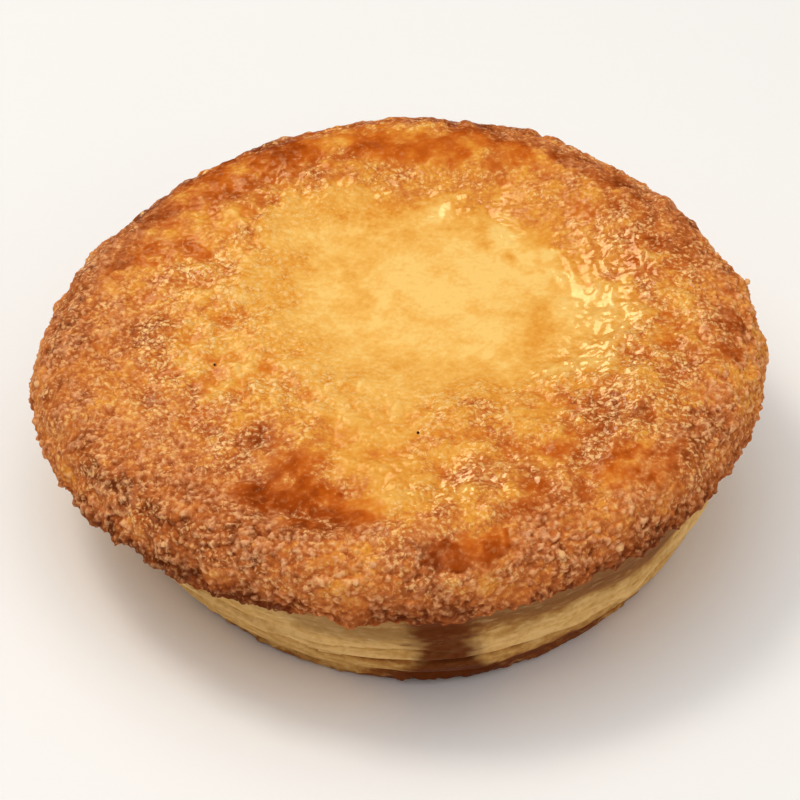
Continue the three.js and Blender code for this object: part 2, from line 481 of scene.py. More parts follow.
def coarse_relief(x, y, z, pool):
    """The solid's relief: crumb lumps on the ring, the small ones drowned by pools, and a sunken dish."""
    far = np.hypot(x - DISH["x"], y - DISH["y"])
    ring = smooth(far, DISH["radius"], DISH["radius"] + DISH["edge"])
    broad, *small = [lumps(x, y, z, width, height) for width, height in CRUMB_LUMPS]
    coarse = broad + (1.0 - POOL_DROWNS * pool) * sum(small)
    dish = lumps(x, y, z, *CUSTARD_RIPPLE) - DISH["depth"]
    return ring * coarse + (1.0 - ring) * dish, ring * coarse


def glaze_wrinkles(x, y):
    """Wrinkles that run round the dish: noise squeezed across its edge and stretched along it."""
    far, turn = np.hypot(x - DISH["x"], y - DISH["y"]), np.arctan2(y - DISH["y"], x - DISH["x"])
    along = turn * WRINKLE["reach"] / WRINKLE["along"]
    bend = WRINKLE["bend"] * level_swell(x, y, WRINKLE["bend_width"])
    return level_swell(far / WRINKLE["across"] + bend, along, 1.0, level=0.5)


def burst_bubble(x, y):
    """Uneven round ridge left by a bubble: a bell curve over the distance from a wavering circle."""
    angle = math.radians(BUBBLE["angle"])
    far = np.hypot(x - BUBBLE["reach"] * math.cos(angle), y - BUBBLE["reach"] * math.sin(angle))
    waver = level_swell(x, y, BUBBLE_WAVER["width"])
    ridge = bell(far - BUBBLE["radius"] - BUBBLE_WAVER["far"] * waver, BUBBLE["width"])
    return ridge * smooth(waver, BUBBLE_WAVER["from"], BUBBLE_WAVER["to"])


def caramel_level(x, y, z, found, coarse):
    """Height that caramel fills up to: by ring, pool and dry crumb, lower on lumps and heaps, rippled."""
    ring, dry = found["ring"], found["dry"]
    level = LEVEL["custard"] + LEVEL["ring"] * ring + LEVEL["pool"] * found["pool"] - LEVEL["dry"] * dry
    return level - LEVEL["hollow"] * (coarse + found["heap"]) * ring + swells(x, y, z, LEVEL_RIPPLE)


def fine_relief(x, y, z, found):
    """Wrinkles where the glaze is wet, grain on the custard, the bubble, and small lumps on the dry rim."""
    ring, wet = found["ring"], found["wet"]
    wrinkle, bubble = wet * glaze_wrinkles(x, y), ring * burst_bubble(x, y)
    found["ridge"] = np.maximum(smooth(wrinkle, *RIDGE_EDGE), bubble)
    fine = WRINKLE["height"] * wrinkle + wet * swells(x, y, z, FINE_WRINKLES)
    fine = fine + (1.0 - ring) * swells(x, y, z, CUSTARD_GRAIN) + BUBBLE["height"] * bubble
    rim = sum(lumps(x, y, z, width, height) for width, height in RIM_LUMPS)
    return fine + found["dry"] * ring * rim


def crust_relief(x, y, z, found):
    """Height over the smooth profile: coarse relief, and crumbs or glazed lumps with caramel between."""
    base, coarse = coarse_relief(x, y, z, found["pool"])
    crumb, own = crumbs(x, y, z)
    shows = CRUMB_IN_GLAZE + (1.0 - CRUMB_IN_GLAZE) * found["dry"]
    top = shows * crumb + (1.0 - found["dry"]) * swells(x, y, z, GLAZED_LUMPS)
    top = top * found["ring"]
    level = caramel_level(x, y, z, found, coarse)
    amber = smooth(level - top, *AMBER_EDGE)
    found.update(amber=amber, own=own, top=top)
    return base + found["heap"], top + (level - top) * amber + fine_relief(x, y, z, found)


ridge_of_bubble = burst_bubble(*np.meshgrid(np.linspace(28.0, 36.0, 80), np.linspace(8.0, 17.0, 80)))
print("burst bubble's ridge covers", round(100 * float(np.mean(ridge_of_bubble > 0.5))), "% of its square")

# %% [markdown]
# ## The crust's surface
#
# A point of the profile is turned to its angle and pushed out by the relief, and then takes on the outline,
# the shift and the lean of the tart. The rim's lower edge hangs unevenly over the case.

# %% Crust surface
FINE_RISE = 0.8  # height over the seat at which fine relief is whole
RAGGED = [(6.0, 0.6), (2.2, 0.45), (1.0, 0.3)]  # width along the rim and height of its hanging edge
RAGGED_RISE = 0.6  # height over the seat at which the hanging edge is whole
RAGGED_FADE = (CRUST_SEAT + 1.0, RIM_HEIGHT + 2.0)  # between these heights it fades


def hanging_edge(x, y, height):
    """How far the rim's lower edge hangs up or down: noise round the rim, in a band above the seat."""
    hanging = swells(x, y, np.zeros_like(x), RAGGED) * smooth(height, CRUST_SEAT, CRUST_SEAT + RAGGED_RISE)
    return hanging * (1.0 - smooth(height, *RAGGED_FADE))


def crust_surface(share, angle):
    """Profile point turned to the angle, pushed out by the relief, widened by the outline, and leaned."""
    radius, height, out, up = profile_at(CRUST_EDGE, share)
    x, y = radius * np.cos(angle), radius * np.sin(angle)
    found = crust_places(x, y, height)
    base, fine = crust_relief(x, y, height, found)
    relief = smooth(height, CRUST_SEAT, RIM_HEIGHT) * base
    relief = relief + smooth(height, CRUST_SEAT, CRUST_SEAT + FINE_RISE) * fine
    wide = outline(angle)
    px = x * wide + out * np.cos(angle) * relief + SHIFT_X
    py = y * wide + out * np.sin(angle) * relief + SHIFT_Y
    pz = height + up * relief + hanging_edge(x, y, height) + LEAN * px
    return np.stack([px, py, pz], axis=-1), found


sample, _ = crust_surface(np.linspace(0, 1, 9), np.zeros(9))
print("crust profile at the right, in mm", np.round(sample[:, [0, 2]], 1).tolist())

# %% [markdown]
# ## How brown, wet and sugary each point is
#
# Browning is one number from 0, raw and pale, to 1, burnt. It rises from the custard to the rim, and it also
# differs from crumb to crumb, because the tops of the grains stayed dry and light while the creases between
# them soaked up sugar. Gloss, pale sugar, which also serves as painted glints, and the peach colour of dry
# grains are numbers of the same kind.

# %% Browning, gloss and sugar
BROWN_REACH = [0, 14, 22, 28, 36, 42, 47, 51]  # distance from the crust's middle
BROWN_SHARE = [0.16, 0.23, 0.35, 0.43, 0.5, 0.55, 0.57, 0.57]
# lower adds burn and painted shade at the rim's lower edge
BROWN_BY = {"burnt": 0.25, "side": -0.12, "lower": 0.36}  # what each place adds
SPARED_LIGHTER = 0.18
PALE_LIGHTER = 0.85  # share of the browning that pale custard lacks
BROAD = [(9.0, 0.1), (3.5, 0.09), (1.8, 0.06)]
BLOTCHES = [(6.0, 0.07), (2.5, 0.07), (1.1, 0.04), (0.6, 0.02)]
CRUMB_TINT = 0.2  # how far browning differs from grain to grain
TOP_LIGHTER = 0.35  # for each millimetre that a lump or a grain stands out
DRY_TOP = 0.2  # by how much more, where it is dry
# ridges of the wrinkles and of the bubble are painted paler, a painted highlight where wet glaze catches
# light
RIDGE_PAINTED_HIGHLIGHT = 0.1  # sugar that foamed set pale
GLOSS = {"least": 0.02, "ring": 0.22, "wet": 0.75}
DULLED = {"dry": 0.9, "pool": 1.5}  # what dry crumb and pools take off the ring's gloss
SUGAR_CLUSTERS = [(4.0, 0.5), (1.8, 0.4)]
CLUSTER_EDGE = (-0.35, 0.35)
SUGAR_ON = {"least": 0.05, "ring": 0.36, "cluster": 0.42, "wet": 0.12}
# low on the rim, the sugar and peach it loses are part of the painted shade at its lower edge
SUGAR_LOST = {"pool": 0.85, "amber": 0.6, "dry": 0.5, "lower": 0.6, "bare": 0.8}  # share that each takes off
PEACH_EDGE = (-0.1, 0.25)  # height of a grain, from none to full peach
# the peach on ridges is a painted highlight
PEACH = {"least": 0.2, "lower": 0.8, "ridge": 0.2}  # share of any grain, loss low down, share of a ridge


def browning_of(found):
    """Browning from radius, patches, broad noise and each crumb, with painted shade and painted highlights.
    """
    place, ring = [found[axis] for axis in "xyz"], found["ring"]
    rise = np.interp(found["reach"], BROWN_REACH, BROWN_SHARE) + ring * swells(*place, BROAD)
    rise = rise * (1.0 - PALE_LIGHTER * found["pale"])
    for key, share in BROWN_BY.items():
        rise = rise + share * found[key]
    rise = rise + (1.0 - ring) * swells(*place, BLOTCHES) - SPARED_LIGHTER * found["spared"]
    grain = CRUMB_TINT * found["dry"] * (found["own"] - 0.5)
    grain = grain - TOP_LIGHTER * found["top"] * (1.0 + DRY_TOP * found["dry"])
    return np.clip(rise + ring * grain - RIDGE_PAINTED_HIGHLIGHT * found["ridge"], 0.0, 1.0)


def gloss_of(found):
    """How wet the surface is: most where the glaze wrinkled, less on the ring, least on dry crumb."""
    glazed = found["ring"]
    for key, share in DULLED.items():
        glazed = glazed * np.maximum(0.0, 1.0 - share * found[key])
    return np.clip(GLOSS["least"] + GLOSS["ring"] * glazed + GLOSS["wet"] * found["wet"], 0.0, 1.0)


def sugar_of(found):
    """Pale sugar and painted glints on it: clusters on the ring, less in hollows, little on custard."""
    cluster = smooth(swells(*[found[axis] for axis in "xyz"], SUGAR_CLUSTERS), *CLUSTER_EDGE)
    ring = found["ring"]
    for key, share in SUGAR_LOST.items():
        ring = ring * (1.0 - share * found[key])
    sugar = SUGAR_ON["least"] + ring * (SUGAR_ON["ring"] + SUGAR_ON["cluster"] * cluster)
    return np.clip(sugar + SUGAR_ON["wet"] * found["wet"] * cluster, 0.0, 1.0)


def peach_of(found):
    """Peach of dry grains, paler the higher and by number, and of ridges, where it is a painted highlight.
    """
    by_number = PEACH["least"] + (1.0 - PEACH["least"]) * found["own"]
    grain = found["dry"] * smooth(found["top"], *PEACH_EDGE) * by_number
    return np.maximum(grain * (1.0 - PEACH["lower"] * found["lower"]), PEACH["ridge"] * found["ridge"])


def crust_numbers(found):
    """What the crust's material reads at each point."""
    return {
        "browning": browning_of(found),
        "amber": found["amber"],
        "gloss": gloss_of(found),
        "sugar": sugar_of(found),
        "peach": peach_of(found),
    }


_, round_the_ring = crust_surface(np.full(90, 0.4), np.linspace(-math.pi, math.pi, 90))
print("round the ring", {key: round(float(v.mean()), 2) for key, v in crust_numbers(round_the_ring).items()})

# %% [markdown]
# ## From arrays to a mesh
#
# Every piece of this lesson goes into Blender by one function. It takes points in millimetres, faces, and
# named numbers for each point, which the materials read back as attributes.

# %% Mesh maker
def make_piece(name, points, faces, numbers, material):
    """Puts points and faces into a smooth mesh object that rides on the tart, with attributes per point."""
    mesh = bpy.data.meshes.new(name)
    mesh.from_pydata((points * MM).tolist(), [], faces)
    for key, values in numbers.items():
        mesh.attributes.new(key, "FLOAT", "POINT").data.foreach_set("value", values.astype(np.float32))
    mesh.shade_smooth()
    mesh.materials.append(material)
    piece = bpy.data.objects.new(name, mesh)
    bpy.context.collection.objects.link(piece)
    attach(piece, "root")
    mesh.calc_loop_triangles()
    print(name, len(mesh.loop_triangles), "triangles")
    return piece


def grid_faces(rows, columns, closed=False):
    """Quads of rows of points, facing outwards where rows run upwards and columns run round the axis."""
    row, column = np.meshgrid(np.arange(rows - 1), np.arange(columns - (not closed)), indexing="ij")
    follow = (column + 1) % columns
    corners = [(row, column), (row, follow), (row + 1, follow), (row + 1, column)]
    return np.stack([r * columns + c for r, c in corners], axis=-1).reshape(-1, 4)


print("a grid of 3 by 3 points has", len(grid_faces(3, 3)), "faces")

# %% [markdown]
# ## Colours and nodes
#
# Colours are written as the hex values that a picture shows, and Blender works in linear light, so one
# function converts them. One more function adds any shader node with its options and links, and another
# fills the sockets of the shader that ends a material.

# %% Colours and nodes
def linear(hex_colour):
    """sRGB hex to linear red, green, blue and alpha: the standard curve, undone for each channel."""
    parts = [int(hex_colour[n:n + 2], 16) / 255 for n in (1, 3, 5)]
    return [c / 12.92 if c <= 0.04045 else ((c + 0.055) / 1.055) ** 2.4 for c in parts] + [1.0]


def new_material(name):
    """A node material, with its Principled shader."""
    material = bpy.data.materials.new(name)
    material.use_nodes = True
    return material, material.node_tree.nodes["Principled BSDF"]


def fill_sockets(material, node, links):
    """Gives each named input of a node a link, if it is a socket, or else a constant value."""
    for key, value in links.items():
        if isinstance(value, bpy.types.NodeSocket):
            material.node_tree.links.new(value, node.inputs[key])
        else:
            node.inputs[key].default_value = value


def add_node(material, kind, links, out=0, stops=(), **options):
    """Adds a node and gives one of its outputs: options set it up, links feed it, stops fill its ramp."""
    node = material.node_tree.nodes.new("ShaderNode" + kind)
    for key, value in options.items():
        setattr(node, key, value)
    for n, (place, colour) in enumerate(stops):
        ramp = node.color_ramp.elements
        element = ramp[n] if n < 2 else ramp.new(place)
        element.position = place
        element.color = linear(colour)
    fill_sockets(material, node, links)
    return node.outputs[out]


print("middle grey in linear light", round(linear("#808080")[0], 3))

# %% [markdown]
# ## Baked custard and crumb under caramel
#
# The crust is one material all over: egg custard and buttery crumb, browned by the oven and glazed by melted
# sugar. A colour ramp turns browning into colour, so every crumb and hollow of the same browning agrees.
# Caramel has a ramp of its own, because clear amber over custard is redder and deeper than toasted crumb.

# %% Crust colours
BROWNING = [
    (0.00, "#fdcf76"),
    (0.12, "#f8be60"),
    (0.25, "#f0ae4e"),
    (0.38, "#e89a38"),
    (0.50, "#d88438"),
    (0.60, "#c87032"),
    (0.70, "#b6602c"),
    (0.80, "#a05224"),
    (0.90, "#86401a"),
    (1.00, "#6a2e12"),
]
CARAMEL = [
    (0.15, "#e89434"),
    (0.40, "#da7a26"),
    (0.55, "#c86018"),
    (0.70, "#a8480e"),
    (0.90, "#7c300a"),
]
# pale sugar specks, which also stand in for glints as a painted highlight
PALE_SUGAR_AND_PAINTED_GLINT = "#ffce8a"
DRY_CRUMB = "#f4b480"
CALM = 0.4  # caramel shows this share of the crumb's light and dark
WORN = {"From Min": 0.36, "From Max": 0.58, "To Min": 0.25}  # how noise thins the peach of dry crumb


def crust_colour(material, shaded, sugar_and_glint_specks, winding, read):
    """Browning and shade through ramps, amber by number, then peach crumb, sugar and painted glints on top.
    """
    toned = add_node(material, "Math", {0: shaded, 1: read["browning"]}, operation="ADD")
    toasted = add_node(material, "ValToRGB", {"Fac": toned}, stops=BROWNING)
    calmed = {0: shaded, 1: CALM, 2: read["browning"]}
    calm = add_node(material, "Math", calmed, operation="MULTIPLY_ADD")
    caramel = add_node(material, "ValToRGB", {"Fac": calm}, stops=CARAMEL)
    worn = add_node(material, "MapRange", {"Value": winding, **WORN})
    dusty = add_node(material, "Math", {0: read["peach"], 1: worn}, operation="MULTIPLY")
    colour = toasted
    for share, over in ((read["amber"], caramel), (dusty, linear(DRY_CRUMB)), (sugar_and_glint_specks, linear(PALE_SUGAR_AND_PAINTED_GLINT))):
        colour = add_node(material, "Mix", {0: share, 6: colour, 7: over}, 2, data_type="RGBA")
    return colour


print(len(BROWNING), "steps of browning and", len(CARAMEL), "of caramel")

# %% [markdown]
# ## Cracks and specks
#
# Between the crumbs run cracks that stray about, darkened as painted shade, and each crumb has a tone
# of its own. Sugar that didn't melt stands on them in pale specks, which also serve as painted glints of
# the glaze. Both are drawn as colour, because they are finer than the mesh. Grains of sugar are about half
# a millimetre wide, and the specks are drawn a little larger to show.

# %% Cracks and specks
SPECK_SIZE, SHADE_SIZE = 0.66, 1.6  # millimetres
SPECK_NOISE = {"Scale": 1 / (SPECK_SIZE * MM), "Detail": 2.5, "Distortion": 0.2}
SHADE_NOISE = {"Scale": 1 / (SHADE_SIZE * MM), "Detail": 4.0, "Distortion": 0.0}
STRAY = {"size": 0.9, "far": 1.3}  # width of the noise that bends the cracks, and how far
CRACKED = 1.0  # width of the crumbs between cracks
# painted shade in the cracks between crumbs, and the crumbs slightly lighter
PAINTED_CRACK_SHADE = {"From Max": 0.16, "To Min": 0.2, "To Max": -0.04}  # browning in a crack and on a crumb
CRUMB_SHADE = 0.22  # how far browning differs between crumbs
WHOLE_CRUMB = {"From Min": 0.01, "From Max": 0.14}  # sugar keeps off the cracks
SPECK = {"From Min": 0.55, "From Max": 0.63}
CROWDED = 0.1  # how far sugar lowers the limit over which noise is a speck
UNEVEN = {"To Min": 0.13, "To Max": 0.45}
BETWEEN_SPECKS = -0.62  # what the noise of the specks adds to browning
COARSE = {"sugar": 0.75, "least": 0.45}  # how strongly that shows


def crumb_cracks(material, place):
    """Cells whose borders noise bends: the distance to a border, and a grey of each cell's own."""
    stray = {"Vector": place, "Scale": 1 / (STRAY["size"] * MM), "Detail": 3.0}
    push = add_node(material, "TexNoise", stray, "Color")
    pushed = {0: push, 1: [STRAY["far"] * MM] * 3, 2: place}
    bent_place = add_node(material, "VectorMath", pushed, operation="MULTIPLY_ADD")
    crumb = {"Vector": bent_place, "Scale": 1 / (CRACKED * MM)}
    to_edge = add_node(material, "TexVoronoi", crumb, "Distance", feature="DISTANCE_TO_EDGE")
    return to_edge, add_node(material, "TexVoronoi", crumb, "Color")


def sugar_and_painted_glint_specks(material, sugar, winding, to_edge):
    """Sugar and painted glints: noise over a limit that sinks where sugar crowds, off cracks, times sugar.
    """
    crowded = add_node(material, "Math", {0: sugar, 1: CROWDED, 2: winding}, operation="MULTIPLY_ADD")
    speck = add_node(material, "MapRange", {"Value": crowded, **SPECK})
    whole = add_node(material, "MapRange", {"Value": to_edge, **WHOLE_CRUMB})
    grainy = add_node(material, "Math", {0: speck, 1: whole}, operation="MULTIPLY")
    return add_node(material, "Math", {0: grainy, 1: sugar}, operation="MULTIPLY")


def crumb_shades(material, sugar, winding, broad, cracks):
    """Added to browning: painted shade in cracks, a tone per crumb, times sugar, and noise sugar
    strengthens.
    """
    to_edge, grey = cracks
    crack = add_node(material, "MapRange", {"Value": to_edge, **PAINTED_CRACK_SHADE})
    tinted = {0: grey, 1: CRUMB_SHADE, 2: -CRUMB_SHADE / 2}
    own = add_node(material, "Math", tinted, operation="MULTIPLY_ADD")
    crumpled = add_node(material, "Math", {0: crack, 1: own}, operation="ADD")
    cracked = add_node(material, "Math", {0: crumpled, 1: sugar}, operation="MULTIPLY")
    uneven = add_node(material, "MapRange", {"Value": broad, **UNEVEN})
    between = {0: winding, 1: BETWEEN_SPECKS, 2: uneven}
    gaps = add_node(material, "Math", between, operation="MULTIPLY_ADD")
    strength = {0: sugar, 1: COARSE["sugar"], 2: COARSE["least"]}
    coarse = add_node(material, "Math", strength, operation="MULTIPLY_ADD")
    return add_node(material, "Math", {0: gaps, 1: coarse, 2: cracked}, operation="MULTIPLY_ADD")


print("crumbs of", CRACKED, "mm and specks of", SPECK_SIZE, "mm")

# %% [markdown]
# ## The crust's finish
#
# Toasted crumb is dull, and wet glaze is a clear coat over it that gives sharp glints. Only that coat
# mirrors light, so the crumb under it keeps its colour. The specks of sugar also stand up as a bump.

# %% Crust material
CRUST_ROUGH = {"To Min": 0.6, "To Max": 0.3}  # from dry to wet
SPECK_HEIGHT = 0.09


def crust_material():
    """Custard and crumb: browning ramp, amber in the hollows, pale specks of sugar, wet or dry."""
    material, shader = new_material("baked_custard_crumb_glazed_with_caramel")
    place = add_node(material, "TexCoord", {}, "Object")
    winding, broad = [
        add_node(material, "TexNoise", {"Vector": place, **noise})
        for noise in (SPECK_NOISE, SHADE_NOISE)
    ]
    read = {
        name: add_node(material, "Attribute", {}, "Fac", attribute_name=name)
        for name in ("browning", "amber", "gloss", "sugar", "peach")
    }
    cracks = crumb_cracks(material, place)
    sugar_and_glint_specks = sugar_and_painted_glint_specks(material, read["sugar"], winding, cracks[0])
    shaded = crumb_shades(material, read["sugar"], winding, broad, cracks)
    bump = {"Height": sugar_and_glint_specks, "Strength": 1.0, "Distance": SPECK_HEIGHT * MM}
    fill_sockets(material, shader, {
        "Base Color": crust_colour(material, shaded, sugar_and_glint_specks, winding, read),
        "Roughness": add_node(material, "MapRange", {"Value": read["gloss"], **CRUST_ROUGH}),
        "Coat Weight": read["gloss"],
        "Normal": add_node(material, "Bump", bump),
        "IOR": 1.45,
        "Specular IOR Level": 0.0,  # only the glaze over the crumb mirrors light
        "Coat Roughness": 0.1,
    })
    return material


CRUST_FINISH = crust_material()
print(CRUST_FINISH.name, "has", len(CRUST_FINISH.node_tree.nodes), "nodes")

# %% [markdown]
# ## The crust in five sheets
#
# Crumbs of a millimetre need points every fifth of a millimetre, more than one mesh should carry, so the
# crust is cut into its middle and four quarters of the ring. A round sheet made from rings bunches its
# points at the middle. Here a square grid is pressed into the disc instead, and its edge has as many points
# as the ring has round it, so the sheets meet point to point. The underside closes on one point.

# %% Crust pieces
MIDDLE_RADIUS = 24.0
MIDDLE_GRID = 311
RING_ROWS = 300
RING_SEGMENTS = 4 * (MIDDLE_GRID - 1)
QUARTERS = ["front", "right", "back", "left"]
FIRST_ANGLE = -0.75 * math.pi  # where the front quarter starts
TOP_FROM = 0.08  # share of the profile past its widest part
HIDDEN = 0.5  # every number at the point that closes the underside


def disc_grid(count):
    """Square grid pressed into a disc: reach is the larger coordinate, angle runs round the square."""
    a, b = np.meshgrid(np.linspace(-1, 1, count), np.linspace(-1, 1, count))
    reach = np.maximum(np.abs(a), np.abs(b))
    flat = np.abs(a) > np.abs(b)
    ratio = np.where(flat, b, a) / np.where(reach > 0, np.where(flat, a, b), 1.0)
    quarter = math.pi / 4 * ratio
    beside = quarter + np.where(a < 0, math.pi, 0.0)
    across = np.where(b < 0, -1, 1) * math.pi / 2 - quarter
    return reach.ravel(), np.where(flat, beside, across).ravel()


def share_at_radius(radius):
    """Share of the crust's profile at which it is this far from the axis, on the top."""
    share = np.linspace(TOP_FROM, 1.0, PROFILE_STEPS)
    return float(np.interp(-radius, -profile_at(CRUST_EDGE, share)[0], share))


def make_middle(inner_share):
    """Middle of the crust: a square grid pressed into a disc."""
    reach, angle = disc_grid(MIDDLE_GRID)
    points, found = crust_surface(1.0 - reach * (1.0 - inner_share), angle)
    faces = grid_faces(MIDDLE_GRID, MIDDLE_GRID).tolist()
    return make_piece("custard_middle", points, faces, crust_numbers(found), CRUST_FINISH)


def make_quarters(inner_share):
    """Four quarters of the ring, from the underside's edge over the rim, each closed below by a fan."""
    turns = np.arange(RING_SEGMENTS) * (2 * math.pi / RING_SEGMENTS) + FIRST_ANGLE
    share, angle = np.meshgrid(np.linspace(0.0, inner_share, RING_ROWS), turns, indexing="ij")
    points, found = crust_surface(share.ravel(), angle.ravel())
    points = points.reshape(RING_ROWS, RING_SEGMENTS, 3)
    numbers = {key: value.reshape(RING_ROWS, RING_SEGMENTS) for key, value in crust_numbers(found).items()}
    middle = np.array([[SHIFT_X, SHIFT_Y, CRUST_SEAT + LEAN * SHIFT_X]])
    edge = np.arange(MIDDLE_GRID)
    fan = np.stack([edge[1:], edge[:-1], np.full(MIDDLE_GRID - 1, RING_ROWS * MIDDLE_GRID)], axis=-1)
    faces = grid_faces(RING_ROWS, MIDDLE_GRID).tolist() + fan.tolist()
    for n, side in enumerate(QUARTERS):
        columns = (n * (MIDDLE_GRID - 1) + edge) % RING_SEGMENTS
        quarter = np.vstack([points[:, columns].reshape(-1, 3), middle])
        own = {key: np.append(value[:, columns].ravel(), HIDDEN) for key, value in numbers.items()}
        yield make_piece(f"crumbly_ring_{side}", quarter, faces, own, CRUST_FINISH)


INNER_SHARE = share_at_radius(MIDDLE_RADIUS)
for sheet in [make_middle(INNER_SHARE), *make_quarters(INNER_SHARE)]:
    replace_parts(sheet, "brulee_crust")

# %% [markdown]
# ## Loose grains and seeds
#
# A few grains of sugar came loose and stuck to the rim without melting, and two seeds of the vanilla pod
# show by the custard. Each is a small lump with blunt ends: rings of points round an upright axis, drawn
# out one way, flattened, uneven by chance, and set into the crust by a part of its height.

# %% Loose grains
GRAINS = [(-64, 48.6, 0.5), (-54, 49.5, 0.65), (-37, 49.4, 0.4), (12, 49.0, 0.45), (96, 48.8, 0.5)]
GRAINS += [(141, 49.2, 0.45), (-172, 48.8, 0.5), (-128, 49.0, 0.4), (-96, 48.2, 0.4)]
SEEDS = [(-162, 25.6, 0.17), (-83, 23.0, 0.19)]  # angle in degrees, reach and half width in millimetres
GRAIN_RINGS, GRAIN_TURNS = 6, 10
BLUNT = 1.3  # angle of the last ring above and below the middle
UNEVEN_GRAIN = (0.85, 1.15)
LONG, FLAT = 1.3, 0.8  # shares of the half width, along and up
STANDS_OUT = 0.3  # share of the half width by which a lump's middle is over the crust


def lump_points(chance, place, size):
    """Ball of rings, each point's distance from the middle changed by chance, stretched along one way."""
    rise, turn = np.meshgrid(np.linspace(-BLUNT, BLUNT, GRAIN_RINGS), np.arange(GRAIN_TURNS), indexing="ij")
    turn = turn * 2 * math.pi / GRAIN_TURNS
    far = size * chance.uniform(*UNEVEN_GRAIN, rise.shape)
    level = np.cos(rise)
    ball = np.stack([level * np.cos(turn), LONG * level * np.sin(turn), FLAT * np.sin(rise)], axis=-1)
    return (ball * far[..., None]).reshape(-1, 3) + place


def make_lumps(name, rows, material):
    """Loose lumps in one mesh, each closed at both ends by one face."""
    chance = np.random.default_rng(11)
    points, faces = [], []
    first = np.arange(GRAIN_TURNS)
    ends = [first[::-1], first + (GRAIN_RINGS - 1) * GRAIN_TURNS]
    for n, (degrees, reach, size) in enumerate(rows):
        share = np.array([share_at_radius(reach)])
        place, _ = crust_surface(share, np.array([math.radians(degrees)]))
        points.append(lump_points(chance, place + [0.0, 0.0, STANDS_OUT * size], size))
        start = n * GRAIN_RINGS * GRAIN_TURNS
        faces += (grid_faces(GRAIN_RINGS, GRAIN_TURNS, closed=True) + start).tolist()
        faces += [(end + start).tolist() for end in ends]
    return make_piece(name, np.vstack(points), faces, {}, material)


def plain_material(name, colour, roughness):
    """One colour and one roughness all over, dusty, so that it mirrors little."""
    material, shader = new_material(name)
    finish = {"Base Color": linear(colour), "Roughness": roughness, "Specular IOR Level": 0.15}
    fill_sockets(material, shader, finish)
    return material


make_lumps("loose_sugar_grains", GRAINS, plain_material("coarse_sugar_unmelted", "#ecb478", 0.6))
make_lumps("vanilla_seeds", SEEDS, plain_material("vanilla_seed_dried", "#2e1206", 0.7))

# %% [markdown]
# ## Laminated pastry
#
# The case is puff pastry: dozens of thin layers that the oven pushed apart. Its side shows them as soft
# level edges. One deep joint runs round it below the middle, under a lip of the layer above, and burnt bits
# cling along the foot. Noise that is longer than it is tall makes the edges wander. At the front, caramel
# ran down from the rim.

# %% Case surface
PASTRY_JOINTS = [  # height, depth, width, wander
    (2.6, 0.7, 0.9, 0.5),
    (7.6, 1.2, 1.1, 0.9),
    (11.6, 0.5, 1.2, 0.8),
    (15.4, 0.45, 1.2, 0.7),
]
MAIN_JOINT = 1
JOINT_STRAY = {"width": 3.0, "far": 0.5}  # noise on the main joint
PASTRY_PUFF = (10.0, 0.7)
LAYER = {"pitch": 2.6, "edge": 0.5}  # height of a layer of dough, and how far its lower edge stands out
LAYER_WANDER = {"along": 12.0, "high": 6.0, "share": 0.9}
LAYER_TREMBLE = {"width": 2.5, "share": 0.15}
LAYER_FADE = {"along": 9.0, "high": 2.5, "from": -0.5, "to": 0.3}
GAP_FROM = 0.8  # share of a layer's height where the gap over it starts
LIP = {"above": 1.0, "width": 0.8, "height": 0.7}
JOINT_CRACK = {"below": 0.25, "width": 0.35, "depth": 0.9}
BASE_CRUMBS = [(1.4, 0.5), (0.7, 0.25)]  # burnt bits along the foot
BASE_CRUMBS_END = (1.0, 3.0)  # between these heights they fade
FOOT_RISE = 0.8  # height at which relief is whole
DRIP = {"x": 5.3, "half": 4.3, "spread": 6.8, "inside": 2.2, "outside": 1.6, "thick": 0.35, "rise": 2.0}
DRIP_SPREADS = (3.5, 6.5)  # it is widest below the first height, and narrow above the second
DRIP_EDGE = [(4.0, 1.2), (1.6, 0.8)]
DRIP_SQUEEZE = 3.0  # its edge changes faster with height
CASE_ROWS, CASE_SEGMENTS = 110, 860


def joint_height(n, angle):
    """Height of a joint between layers, which wanders up and down round the case."""
    height, _, _, wander = PASTRY_JOINTS[n]
    return height + wander * (np.sin(3 * angle + 2 * n) + 0.6 * np.sin(7 * angle + 5 * n))


def stretched(x, y, z, row):
    """Noise that is as long as the row's along and as tall as its high."""
    return swell(x / row["along"], y / row["along"], z / row["high"])


def layers(x, y, z):
    """Layers of dough: a saw wave in height whose lower edges stand out, wander and fade, and their gaps."""
    edge = z / LAYER["pitch"] + LAYER_WANDER["share"] * stretched(x, y, z, LAYER_WANDER)
    edge = edge + LAYER_TREMBLE["share"] * level_swell(x, y, LAYER_TREMBLE["width"])
    fade = smooth(stretched(x, y, z, LAYER_FADE), LAYER_FADE["from"], LAYER_FADE["to"])
    part = edge - np.floor(edge)
    return fade * (0.5 - part), fade * smooth(part, GAP_FROM, 1.0)


